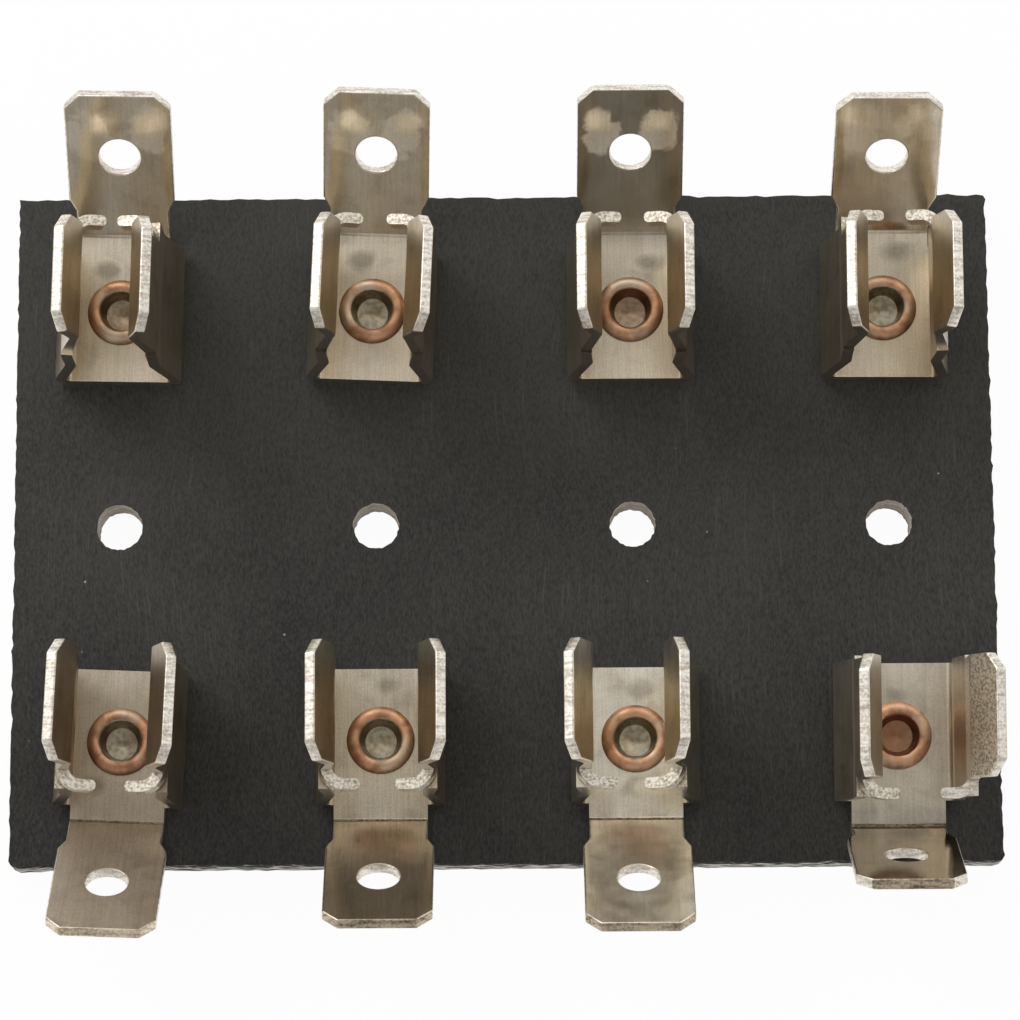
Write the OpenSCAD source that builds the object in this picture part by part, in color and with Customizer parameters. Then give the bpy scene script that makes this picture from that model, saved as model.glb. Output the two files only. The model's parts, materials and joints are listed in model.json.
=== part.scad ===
// Four-way block for glass tube fuses: an insulating board with two facing rows of
// stamped spring clips, each clip folded from one strip and held by one tubular rivet.
// Millimetres. +Z is up through the clips, the back of the board lies at Z = 0, and the
// origin is the centre of the back. The far row of clips points its tabs to +Y.

/* [Board] */
// Spacing of the fuses along the board
pitch = 15.24; // [12:0.01:20]
// Outer column of holes to the end of the board
end_margin = 6.34; // [5:0.01:12]
// Row of rivets to the long edge of the board
row_margin = 7.3; // [6.5:0.1:14]
// Thickness of the board
board_t = 2.4; // [2:0.1:5]
// Mounting hole on the middle line, under each fuse
mount_d = 2.9; // [2:0.1:5]

/* [Fuse] */
// Length of the fuse that drops in between the end stops
fuse_l = 31.75; // [25:0.05:40]
// Play of the fuse between the end stops
fuse_play = 0.95; // [0.2:0.05:2]

/* [Clip strip] */
// Thickness of the strip
sheet_t = 0.65; // [0.5:0.05:0.8]
// Inside radius of its folds
bend_r = 0.3; // [0.2:0.05:0.4]
// Rivet to the open end of the clip
nose_l = 4.25; // [4.1:0.05:6]
// Rivet to the heel, where the base narrows to the tab
heel_l = 3.8; // [3.5:0.05:6]
// Clear width of the base between the walls
inside_w = 6.4; // [5.8:0.1:8]

/* [Clip walls] */
// Length of the lowest panel, from the base to the pinch
skirt_l = 4; // [3:0.1:6]
// Inward lean of the lowest panel
skirt_lean = 12.5; // [4:0.5:15]
// Length of the lower seat panel, from the pinch to the bulge
lower_l = 2.4; // [1.8:0.1:4]
// Outward lean of the lower seat panel
lower_lean = 3; // [0:0.5:12]
// Length of the upper seat panel, from the bulge to the neck
upper_l = 3.5; // [3:0.1:5]
// Inward lean of the upper seat panel
upper_lean = 10; // [4:0.5:14]
// Length of the lip above the neck
lip_l = 2.7; // [2.2:0.1:4]
// Outward flare of the lip
lip_flare = 21; // [10:0.5:40]
// Cut corner of the lip
lip_chamfer = 0.95; // [0.3:0.05:1.5]
// Rivet to the open end of the lip and of the upper seat panel
crest_nose = 4.05; // [3.4:0.05:4.05]
// Rivet to the other end of the lip and of the upper seat panel, above the end stop
crest_heel = 2.9; // [2.8:0.05:3.3]

/* [End stops] */
// Fold at the bulge to the strip that is turned in as an end stop
stop_from = 0.3; // [0.25:0.05:0.6]
// Width of that strip
stop_h = 1; // [0.8:0.1:1.8]
// Thinning of the strip on each face as it is drawn round its fold
stop_thin = 0.01; // [0.01:0.01:0.05]
// Slit that frees the end stop from the wall
stop_slit = 0.2; // [0.1:0.05:0.4]
// Inside radius of the end stop's fold
stop_r = 0.7; // [0.4:0.05:1]
// Straight length of the end stop beyond its fold
stop_l = 0.9; // [0.3:0.05:1]
// Rivet to the face that stops the fuse
stop_face = 3.35; // [3.2:0.05:5]

/* [Tab] */
// Heel to the crease where the tab turns up
crease_gap = 0.92; // [0.6:0.02:2]
// Width of the neck between the heel and the tab
neck_w = 5.5; // [4.5:0.1:6]
// Crease to the start of the shoulders
neck_l = 1.8; // [1.2:0.1:4]
// Length of the sloped shoulders
shoulder_l = 0.8; // [0.4:0.1:2]
// Width of the tab
tab_w = 6.3; // [6:0.05:7]
// Shoulders to the tip of the tab
tab_l = 7.4; // [6.4:0.1:10]
// Cut corner of the tip
tab_chamfer = 0.9; // [0.3:0.1:1.5]
// Hole in the tab
tab_hole_d = 2.45; // [1.6:0.05:3]
// Hole in the tab to the tip
tab_hole_tip = 4.3; // [3:0.1:5]

/* [Rivets] */
// Diameter of the shank
shank_d = 3.1; // [2.4:0.1:3.4]
// Clearance round the shank
shank_play = 0.1; // [0.05:0.05:0.3]
// Outer diameter of the clinched rim on the clip
rim_d = 4; // [3.9:0.05:4.4]
// Diameter of the round of metal rolled over in the rim
rim_roll = 0.95; // [0.9:0.05:1]
// Diameter of the funnel's mouth, level with the top of the rim
mouth_d = 2.5; // [2.4:0.05:2.8]
// Diameter of the flat bottom of the funnel
core_d = 1.9; // [1.6:0.05:2.1]
// Depth of the funnel below the top of the rim
core_depth = 1.2; // [1:0.05:1.4]
// Diameter of the head on the back
head_d = 5.2; // [4.6:0.1:6]
// Height of the head's rim
head_rim = 0.5; // [0.3:0.1:0.6]
// Rise of the head's dome
head_dome = 0.35; // [0.2:0.05:0.5]
// Clearance round and behind the head in its pocket
head_play = 0.15; // [0.05:0.05:0.3]

/* [Far row as it stands] */
// Sideways shift of each clip, from the -X end
far_shift = [0, -0.2, 0, -0.1]; // [-0.4:0.1:0.4]
// Turn of each clip about its rivet
far_turn = [-1.2, -2.5, 0, -0.4]; // [-4:0.1:4]
// Outward spread of the walls on the -X side
far_west = [-2.5, -1.5, 0, -1.5]; // [-4:0.5:8]
// Outward spread of the walls on the +X side
far_east = [-3, 2, 0, 1]; // [-4:0.5:8]
// Rise of the tabs above the board
far_rise = [50, 49, 48, 54]; // [30:1:75]

/* [Near row as it stands] */
// Sideways shift of each clip, from the -X end
near_shift = [0.3, 0.3, 0, 0.1]; // [-0.4:0.1:0.4]
// Turn of each clip about its rivet
near_turn = [-2.4, 0, 0, 0]; // [-4:0.1:4]
// Outward spread of the walls on the -X side
near_west = [-0.5, 2.5, 4.5, -1]; // [-4:0.5:8]
// Outward spread of the walls on the +X side
near_east = [3, 3, -3, 8]; // [-4:0.5:8]
// Rise of the tabs above the board
near_rise = [45, 48, 46, 64]; // [30:1:75]
// Lift of the last clip's open end, pulled up about its tab crease
lifted_tilt = 6; // [0:0.5:6]
// How much further from the heel the last clip's crease lies
lifted_crease = 0.6; // [0:0.1:0.7]

/* [Hidden] */
$fn = 64;

// Depth by which a cutter runs past the faces that it cuts
past = 1;
// Flats that make up the round of one fold
fold_steps = 8;

board_color = "#2f2d2b";
clip_color = "#b5a995";
rivet_color = "#a5663f";

// Four columns, and two rows of rivets set apart by the fuse between its end stops
columns = 4;
row_y = (fuse_l + fuse_play) / 2 - stop_face;
board_l = (columns - 1) * pitch + 2 * end_margin;
board_w = 2 * (row_y + row_margin);

// Turn of the strip at each fold of a wall, positive towards the inside of the clip
pinch_turn = -lower_lean - skirt_lean;
bulge_turn = upper_lean + lower_lean;
neck_turn = -lip_flare - upper_lean;

// Number of the upper seat panel and of the lip among the runs of a wall
upper_run = 3;
lip_run = 4;

stop_fold = stop_face - stop_r;
stop_t = sheet_t - 2 * stop_thin;
tab_tip = neck_l + shoulder_l + tab_l;

head_h = head_rim + head_dome;
pocket_depth = head_h + head_play;
rim_r = rim_d / 2 - rim_roll / 2;

// Settings of clip i, numbered from 0 along the far row and then along the near row
function is_far(i) = i < columns;
function column(i) = i % columns;
function column_x(c) = (c - (columns - 1) / 2) * pitch;
function clip_x(i) = column_x(column(i)) + (is_far(i) ? far_shift : near_shift)[column(i)];
function clip_y(i) = is_far(i) ? row_y : -row_y;
function clip_turn(i) = is_far(i) ? far_turn[column(i)] : 180 + near_turn[column(i)];
function left_spread(i) = (is_far(i) ? far_west : near_east)[column(i)];
function right_spread(i) = (is_far(i) ? far_east : near_west)[column(i)];
function tilt(i) = i == 2 * columns - 1 ? lifted_tilt : 0;
function tab_turn(i) = (is_far(i) ? far_rise : near_rise)[column(i)] + tilt(i);
function crease_shift(i) = i == 2 * columns - 1 ? lifted_crease : 0;

// A strip is a list of runs [length, turn]: a flat of that length, then a fold through that angle.
// It starts along X with its inner face on the axis, and a positive turn folds that face inwards.
function ahead(heading) = [cos(heading), sin(heading)];
function inward(heading) = [-sin(heading), cos(heading)];

// Distance from the inner face to the axis of a fold of inside radius r in a strip of thickness t
function to_axis(turn, r, t) = turn > 0 ? r : -(r + t);

// Length of the inner face that half of a fold takes from the flat beside it
function setback(turn) = abs(to_axis(turn, bend_r, sheet_t)) * tan(abs(turn) / 2);

// Point of the inner face at the end of a fold that starts at p
function fold_end(p, heading, turn, r, t) =
    p + to_axis(turn, r, t) * (inward(heading) - inward(heading + turn));

// Points of a strip's face that lies at the given depth below its inner face
function face_points(runs, depth, r, t, p = [0, 0], heading = 0, k = 0) =
    let (run = runs[k], turn = run[1], end = p + run[0] * ahead(heading))
    k == len(runs) - 1 ? [end - depth * inward(heading)] :
    let (reach = to_axis(turn, r, t), axis = end + reach * inward(heading))
    concat(
        [for (j = [0:fold_steps]) axis - (reach + depth) * inward(heading + turn * j / fold_steps)],
        face_points(runs, depth, r, t, fold_end(end, heading, turn, r, t), heading + turn, k + 1)
    );

function reversed(list) = [for (k = [len(list) - 1:-1:0]) list[k]];

// Outline of a strip seen along its folds
function strip_outline(runs, r = bend_r, t = sheet_t) = concat(
    [[0, -t]], face_points(runs, t, r, t), reversed(face_points(runs, 0, r, t)), [[0, 0]]
);

// Where run n of a strip starts, as [point of its inner face, heading]
function run_start(runs, n, p = [0, 0], heading = 0, k = 0) =
    k == n ? [p, heading] :
    let (turn = runs[k][1], end = p + runs[k][0] * ahead(heading))
    run_start(runs, n, fold_end(end, heading, turn, bend_r, sheet_t), heading + turn, k + 1);

// Runs of a wall from the middle of the base, over the skirt, the two seat panels and the lip
function wall_runs(spread) =
    let (skirt_turn = 90 + skirt_lean - spread)
    [
        [inside_w / 2 - setback(skirt_turn), skirt_turn],
        [skirt_l - setback(skirt_turn) - setback(pinch_turn), pinch_turn],
        [lower_l - setback(pinch_turn) - setback(bulge_turn), bulge_turn],
        [upper_l - setback(bulge_turn) - setback(neck_turn), neck_turn],
        [lip_l - setback(neck_turn), 0]
    ];

// Runs of the tab from the heel, over a crease that is moved along the strip, to the tip
function tab_runs(turn, shift) = [
    [crease_gap + shift - setback(turn), turn], [tab_tip - shift - setback(turn), 0]
];

// Frame of run n of a wall: X along the run, Y along the clip, Z out of its inner face
module on_wall(runs, n) {
    start = run_start(runs, n);
    translate([start[0][0], 0, start[0][1]])
        rotate([0, -start[1], 0])
            children();
}

// Frame of the tab's blade: Y along the blade from its fold, Z out of its upper face
module on_blade(runs) {
    start = run_start(runs, 1);
    translate([0, heel_l + start[0][0], start[0][1]])
        rotate([start[1], 0, 0])
            children();
}

// Cutter for a square corner of the strip that ends at X = 0 and Y = 0
module corner_cutter(chamfer) {
    linear_extrude(2 * (sheet_t + past), center = true)
        polygon([[past, past], [-chamfer - past, past], [past, -chamfer - past]]);
}

// The end stop: a strip of the upper panel turned in across the end of the fuse
module end_stop() {
    root = stop_fold / 2;
    translate([stop_from, stop_fold - root, -stop_thin])
        rotate([90, 0, 90])
            linear_extrude(stop_h)
                polygon(strip_outline([[root, 90], [stop_l, 0]], stop_r, stop_t));
}

// The opening that the end stop leaves in the upper panel, with a slit on each side of it
module end_stop_cutter() {
    translate([stop_from - stop_slit, stop_fold, -sheet_t - past])
        cube([stop_h + 2 * stop_slit, stop_r + heel_l, sheet_t + 2 * past]);
}

// What the panels above the bulge lose at both ends of the wall
module crest_cutter() {
    reach = upper_l + lip_l;
    translate([stop_from - stop_slit, 0, -reach]) {
        translate([0, crest_heel, 0])
            cube([reach, reach, 2 * reach]);
        translate([0, -crest_nose - reach, 0])
            cube([reach, reach, 2 * reach]);
    }
}

// Half of the base with the spring wall on its +X side
module wall(spread) {
    runs = wall_runs(spread);
    difference() {
        translate([0, heel_l, 0])
            rotate([90, 0, 0])
                linear_extrude(nose_l + heel_l)
                    polygon(strip_outline(runs));
        on_wall(runs, upper_run) {
            crest_cutter();
            end_stop_cutter();
        }
        on_wall(runs, lip_run) {
            lip_top = runs[lip_run][0];
            translate([lip_top, crest_heel, 0])
                corner_cutter(lip_chamfer);
            translate([lip_top, -crest_nose, 0])
                mirror([0, 1, 0])
                    corner_cutter(lip_chamfer);
        }
    }
    on_wall(runs, upper_run)
        end_stop();
}

// One side of the neck and its sloped shoulder, which runs on beyond the side of the tab
module shoulder_cutter(start) {
    beyond = tab_w - neck_w / 2;
    linear_extrude(2 * tab_tip, center = true)
        polygon([
            [neck_w / 2, -tab_tip],
            [neck_w / 2, neck_l - start],
            [beyond, neck_l + 2 * shoulder_l - start],
            [beyond, -tab_tip]
        ]);
}

// The neck beyond the heel, turned up at the crease into the tab
module tab(turn, shift) {
    runs = tab_runs(turn, shift);
    tip = runs[1][0];
    difference() {
        translate([-tab_w / 2, heel_l, 0])
            rotate([90, 0, 90])
                linear_extrude(tab_w)
                    polygon(strip_outline(runs));
        on_blade(runs) {
            for (side = [0, 1])
                mirror([side, 0, 0]) {
                    shoulder_cutter(shift + setback(turn));
                    translate([tab_w / 2, tip, 0])
                        corner_cutter(tab_chamfer);
                }
            translate([0, tip - tab_hole_tip, 0])
                cylinder(d = tab_hole_d, h = 2 * (sheet_t + past), center = true);
        }
    }
}

// Axis of the fold under the tab of clip i, on which a lifted clip rolls back: [along the clip, up]
function roll_axis(i) = [heel_l + crease_gap + crease_shift(i) - setback(tab_turn(i)), sheet_t + bend_r];

// Height of the clip's base above the board at its rivet
function base_top(i) = roll_axis(i)[1] + roll_axis(i)[0] * sin(tilt(i)) - bend_r * cos(tilt(i));

// Stands a clip's frame on the board at its rivet
module at_clip(i) {
    axis = roll_axis(i);
    translate([clip_x(i), clip_y(i), board_t])
        rotate([0, 0, clip_turn(i)])
            translate([0, axis[0], axis[1]])
                rotate([-tilt(i), 0, 0])
                    translate([0, -axis[0], -axis[1]])
                        children();
}

// The hole for the shank through the board and the base of clip i
module rivet_hole(i) {
    translate([clip_x(i), clip_y(i), -past])
        cylinder(d = shank_d + 2 * shank_play, h = past + board_t + base_top(i) + past);
}

module clip(i) {
    color(clip_color)
        difference() {
            at_clip(i)
                translate([0, 0, sheet_t]) {
                    wall(right_spread(i));
                    mirror([1, 0, 0])
                        wall(left_spread(i));
                    tab(tab_turn(i), crease_shift(i));
                }
            rivet_hole(i);
        }
}

// The board with its mounting holes, rivet holes and pockets for the rivets' heads
module board() {
    color(board_color)
        difference() {
            translate([-board_l / 2, -board_w / 2, 0])
                cube([board_l, board_w, board_t]);
            for (c = [0:columns - 1])
                translate([column_x(c), 0, -past])
                    cylinder(d = mount_d, h = board_t + 2 * past);
            for (i = [0:2 * columns - 1]) {
                rivet_hole(i);
                translate([clip_x(i), clip_y(i), -past])
                    cylinder(d = head_d + 2 * head_play, h = past + pocket_depth);
            }
        }
}

// The domed head that lies in its pocket, just inside the back of the board
module rivet_head() {
    dome_r = (head_d * head_d / 4 + head_dome * head_dome) / (2 * head_dome);
    translate([0, 0, head_play])
        intersection() {
            cylinder(d = head_d, h = head_h);
            translate([0, 0, dome_r])
                sphere(r = dome_r);
        }
}

// The end of the tube, rolled outwards over the base of the clip
module rivet_rim() {
    rotate_extrude()
        intersection() {
            translate([rim_r, 0])
                circle(d = rim_roll);
            square([rim_d, rim_roll]);
        }
}

// The hollow of the tube: a funnel that opens from its flat bottom to its mouth and runs on above it
module funnel() {
    flare = (mouth_d - core_d) / core_depth;
    depth = core_depth + past;
    cylinder(d1 = core_d, d2 = core_d + flare * depth, h = depth);
}

// One semi-tubular rivet through the board and the base of clip i
module rivet(i) {
    shank_top = board_t + base_top(i) + rim_roll / 5;
    difference() {
        union() {
            translate([clip_x(i), clip_y(i), 0]) {
                rivet_head();
                translate([0, 0, pocket_depth - head_rim / 2])
                    cylinder(d = shank_d, h = shank_top - pocket_depth + head_rim / 2);
            }
            at_clip(i)
                translate([0, 0, sheet_t])
                    rivet_rim();
        }
        at_clip(i)
            translate([0, 0, sheet_t + rim_roll / 2 - core_depth])
                funnel();
    }
}

module rivets() {
    color(rivet_color)
        for (i = [0:2 * columns - 1])
            rivet(i);
}

board();
clip(0);  // clip_1
clip(1);  // clip_2
clip(2);  // clip_3
clip(3);  // clip_4
clip(4);  // clip_5
clip(5);  // clip_6
clip(6);  // clip_7
clip(7);  // clip_8
rivets();
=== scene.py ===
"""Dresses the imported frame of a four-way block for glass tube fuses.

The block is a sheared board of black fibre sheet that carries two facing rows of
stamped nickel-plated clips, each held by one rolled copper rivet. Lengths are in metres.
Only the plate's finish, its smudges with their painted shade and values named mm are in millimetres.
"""

from __future__ import annotations

import json
import logging
import math
from dataclasses import dataclass, field
from enum import Enum, IntEnum
from functools import partial
from typing import Any, Callable

import bpy
from bpy.types import Material, MeshPolygon, Node, NodeSocket, NodeTree, Object
from mathutils import Matrix, Vector, noise

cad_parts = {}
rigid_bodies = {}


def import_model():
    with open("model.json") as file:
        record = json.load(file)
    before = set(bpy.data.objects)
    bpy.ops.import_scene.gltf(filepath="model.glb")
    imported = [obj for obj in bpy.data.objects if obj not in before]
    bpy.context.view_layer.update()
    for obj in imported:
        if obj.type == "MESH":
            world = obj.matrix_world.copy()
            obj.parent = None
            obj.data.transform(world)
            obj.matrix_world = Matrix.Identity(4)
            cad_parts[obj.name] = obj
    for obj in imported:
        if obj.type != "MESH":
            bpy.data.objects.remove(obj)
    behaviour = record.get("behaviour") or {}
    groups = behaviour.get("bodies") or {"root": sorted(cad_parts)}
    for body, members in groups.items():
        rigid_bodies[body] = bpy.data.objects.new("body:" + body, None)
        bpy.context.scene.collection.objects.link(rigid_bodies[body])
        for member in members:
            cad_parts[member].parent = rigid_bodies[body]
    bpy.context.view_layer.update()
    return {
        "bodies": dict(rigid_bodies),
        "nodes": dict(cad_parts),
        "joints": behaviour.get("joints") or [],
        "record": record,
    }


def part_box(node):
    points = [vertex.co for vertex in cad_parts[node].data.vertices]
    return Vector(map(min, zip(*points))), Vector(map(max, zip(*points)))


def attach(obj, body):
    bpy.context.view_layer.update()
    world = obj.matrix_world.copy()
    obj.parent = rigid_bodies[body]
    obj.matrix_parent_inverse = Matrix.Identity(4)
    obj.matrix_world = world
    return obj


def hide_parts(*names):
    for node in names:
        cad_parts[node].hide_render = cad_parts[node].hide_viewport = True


LOG = logging.getLogger("fuse_block")
MM = 0.001
BODY = "root"
FRAME_PX = 1020.0
COLUMNS = 4
# Points this near are merged, and faces that meet at less than this angle become one
MERGE_GAP = 0.002 * MM
MERGE_DEG = 0.4
# Angle between faces from which their edge stays sharp
SHARP_DEG = 40.0
# Share of a face's normal along an axis from which the face counts as square to it
SQUARE = 0.9

Place = tuple[float, float]
Stops = list[tuple[float, str | float]]
Adder = Callable[..., Node]
Source = Node | NodeSocket


class Slot(Enum):
    """Material slots of the record that the pieces take their finish from."""

    BOARD = "board"
    CLIP = "clip"
    RIVET = "rivet"


class Row(Enum):
    """The two rows of clips, with the side of the board that each one is on."""

    FAR = 1
    NEAR = -1


class Face(IntEnum):
    """Kinds of faces on a clip, in the order of its materials."""

    STRIP = 0
    EDGE = 1
    TIP = 2
    FOLD = 3
    STOP = 4
    CREASE = 5
    GRAIN = 6


def linear(code: str) -> tuple[float, float, float, float]:
    """Turns an sRGB hex colour into linear values.

    Args:
        code: Six hex digits after a hash sign.

    Returns:
        Red, green, blue and a full alpha.
    """
    parts = [int(code[k : k + 2], 16) / 255.0 for k in (1, 3, 5)]
    low = [v / 12.92 if v <= 0.04045 else ((v + 0.055) / 1.055) ** 2.4 for v in parts]
    return low[0], low[1], low[2], 1.0


def cells(*sizes_mm: float) -> tuple[float, ...]:
    """Mapping scale at which one cell of a pattern measures sizes_mm along X, Y and Z."""
    return tuple(1.0 / (size * MM) for size in sizes_mm)


def output(source: Source) -> NodeSocket:
    """Gives an output socket as it is, and of a node the first output that is in use."""
    if isinstance(source, NodeSocket):
        return source
    return next(socket for socket in source.outputs if socket.enabled)


def add_node(
    tree: NodeTree,
    kind: str,
    inputs: dict[Any, Any] | None = None,
    stops: Stops | None = None,
    **settings: Any,
) -> Node:
    """Adds a node to a tree with its settings, values and links.

    Args:
        tree: Tree that gets the node.
        kind: Blender's name of the node type.
        inputs: Input name or number, with a value, or the node or output socket to link.
        stops: Position with a hex colour or a grey level, where the node is a ramp.
        **settings: Attributes of the node.

    Returns:
        The new node.
    """
    new = tree.nodes.new(kind)
    for key, value in settings.items():
        setattr(new, key, value)
    for key, value in (inputs or {}).items():
        if isinstance(value, Source):
            tree.links.new(output(value), new.inputs[key])
        else:
            new.inputs[key].default_value = value
    for count, (place, colour) in enumerate(stops or []):
        elements = new.color_ramp.elements
        element = elements[count] if count < len(elements) else elements.new(place)
        element.position = place
        element.color = linear(colour) if isinstance(colour, str) else (colour, colour, colour, 1.0)
    return new


def start_material(name: str, constants: dict[str, float]) -> tuple[Material, Node, Adder, NodeSocket]:
    """Starts a material on a principled shader.

    Args:
        name: Name of the material.
        constants: Values of the shader's own sockets that are the same all over.

    Returns:
        The material, its shader, the function that adds a node to it, and the object coordinates.
    """
    material = bpy.data.materials.new(name)
    material.use_nodes = True
    tree = material.node_tree
    tree.nodes.clear()
    add = partial(add_node, tree)
    shader = add("ShaderNodeBsdfPrincipled", constants)
    add("ShaderNodeOutputMaterial", {"Surface": shader})
    return material, shader, add, add("ShaderNodeTexCoord").outputs["Object"]


def link(source: Source, shader: Node, name: str) -> None:
    """Links a node or an output to a named input of a shader in the same tree."""
    shader.id_data.links.new(output(source), shader.inputs[name])


def blot(add: Adder, spot: Source, wobble: Source, form: dict[str, Any], rim: Stops) -> Node:
    """Adds the nodes of one round patch with a soft and uneven rim.

    Args:
        add: Function that adds a node to the material.
        spot: Coordinates in millimetres.
        wobble: Pattern that makes the rim uneven.
        form: Location and Scale, the centre and the half widths of the patch in millimetres.
        rim: Strength from the middle of the patch to its rim, which is at about 0.65.

    Returns:
        Node with the strength of the patch, which is nought outside of it.
    """
    about = add("ShaderNodeMapping", {"Vector": spot, **form}, vector_type="TEXTURE")
    reach = add("ShaderNodeVectorMath", {0: about}, operation="LENGTH")
    uneven = add("ShaderNodeMix", {0: 0.7, 2: reach, 3: wobble})
    return add("ShaderNodeValToRGB", {"Fac": uneven}, rim)


@dataclass(frozen=True)
class FibreBoard:
    """Black paper-filled phenolic sheet, pressed and wiped: satin, with fine bent streaks."""

    name: str = "black_phenolic_sheet"
    dark: str = "#1b1a18"
    light: str = "#3b3935"
    streak: str = "#55534e"
    speck: str = "#b9b3a8"

    def build(self) -> Material:
        """Makes the material.

        Returns:
            The finished material.
        """
        material, shader, add, place = start_material(self.name, {"Specular IOR Level": 0.3})
        # Wiping bends the grain a little, in arcs of about 8 mm
        sway = add("ShaderNodeTexNoise", {"Vector": place, "Scale": cells(8.0)[0], "Detail": 0.0})
        bent = add(
            "ShaderNodeVectorMath",
            {0: sway.outputs["Color"], 1: (1.6 * MM, 1.6 * MM, 0.0), 2: place},
            operation="MULTIPLY_ADD",
        )
        # Pressed grain, 0.11 mm wide and 0.28 mm long
        fine = add("ShaderNodeMapping", {"Vector": bent, "Scale": cells(0.11, 0.28, 1.0)})
        grain = add("ShaderNodeTexNoise", {"Vector": fine, "Scale": 1.0, "Detail": 4.0})
        # Clouds of 9 mm where hands and cloths have been
        cloud = add("ShaderNodeTexNoise", {"Vector": place, "Scale": cells(9.0)[0], "Detail": 3.0})
        # Painted sheen: the sheet is painted lighter toward the far edge, where the sky behind it shines on
        # it
        split = add("ShaderNodeSeparateXYZ", {"Vector": place})
        far_edge_sheen = add(
            "ShaderNodeMapRange",
            {"Value": split.outputs["Y"], 1: -20.0 * MM, 2: 20.0 * MM, 3: -0.05, 4: 0.13},
        )
        # Clouds of handling, with the painted sheen
        clouds_and_sheen = add("ShaderNodeMath", {0: cloud, 1: 0.4, 2: far_edge_sheen}, operation="MULTIPLY_ADD")
        tone = add("ShaderNodeMath", {0: clouds_and_sheen, 1: grain}, operation="ADD")
        base = add("ShaderNodeValToRGB", {"Fac": tone}, [(0.5, self.dark), (0.9, self.light)])
        # Wiped hair lines, 0.1 mm wide and 3 mm long, which gather in the clouds
        long = add("ShaderNodeMapping", {"Vector": bent, "Scale": cells(0.1, 3.0, 1.0)})
        wiped = add("ShaderNodeTexNoise", {"Vector": long, "Scale": 1.0, "Detail": 1.0})
        thin = add("ShaderNodeValToRGB", {"Fac": wiped}, [(0.6, 0.0), (0.8, 0.42)])
        here = add("ShaderNodeValToRGB", {"Fac": cloud}, [(0.42, 0.1), (0.62, 1.0)])
        shown = add("ShaderNodeMath", {0: thin, 1: here}, operation="MULTIPLY")
        streaked = add("ShaderNodeMix", {0: shown, 6: base, 7: linear(self.streak)}, data_type="RGBA")
        # Pale specks of 0.1 mm, a few on the whole sheet
        dots = add("ShaderNodeTexVoronoi", {"Vector": place, "Scale": cells(3.0)[0]})
        dot = add("ShaderNodeValToRGB", {"Fac": dots}, [(0.012, 0.9), (0.026, 0.0)])
        some = add("ShaderNodeValToRGB", {"Fac": dots.outputs["Color"]}, [(0.5, 0.0), (0.6, 0.9)])
        speck = add("ShaderNodeMath", {0: dot, 1: some}, operation="MULTIPLY")
        dusted = add("ShaderNodeMix", {0: speck, 6: streaked, 7: linear(self.speck)}, data_type="RGBA")
        link(dusted, shader, "Base Color")
        gloss = add("ShaderNodeValToRGB", {"Fac": tone}, [(0.5, 0.42), (0.95, 0.6)])
        link(gloss, shader, "Roughness")
        relief = add("ShaderNodeBump", {"Height": grain, "Strength": 0.4, "Distance": 0.03 * MM})
        link(relief, shader, "Normal")
        return material


@dataclass(frozen=True)
class CutFibre:
    """Cut through the phenolic sheet: torn plies, dark with pale chips of bare paper."""

    name: str
    dark: str
    pale: str
    pale_from: float
    pale_to: float
    fringe: float = 0.0
    rough: float = 0.85

    def build(self) -> Material:
        """Makes the material.

        Returns:
            The finished material.
        """
        constants = {"Roughness": self.rough, "Specular IOR Level": 0.3}
        material, shader, add, place = start_material(self.name, constants)
        # Torn plies, 1.2 mm along the cut and 0.3 mm through the sheet
        plies = add("ShaderNodeMapping", {"Vector": place, "Scale": cells(1.2, 1.2, 0.3)})
        chips = add("ShaderNodeTexNoise", {"Vector": plies, "Scale": 1.0, "Detail": 4.0})
        # The sheet breaks out pale under its pressed skin, which is 0.2 to 0.9 mm thick
        split = add("ShaderNodeSeparateXYZ", {"Vector": place})
        lower = add(
            "ShaderNodeMapRange",
            {"Value": split.outputs["Z"], 1: 1.5 * MM, 2: 2.2 * MM, 3: self.fringe, 4: 0.0},
        )
        broken = add("ShaderNodeMath", {0: chips, 1: lower}, operation="ADD")
        shade = add(
            "ShaderNodeValToRGB",
            {"Fac": broken},
            [(self.pale_from, self.dark), (self.pale_to, self.pale)],
        )
        link(shade, shader, "Base Color")
        relief = add("ShaderNodeBump", {"Height": chips, "Strength": 0.6, "Distance": 0.1 * MM})
        link(relief, shader, "Normal")
        return material


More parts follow.
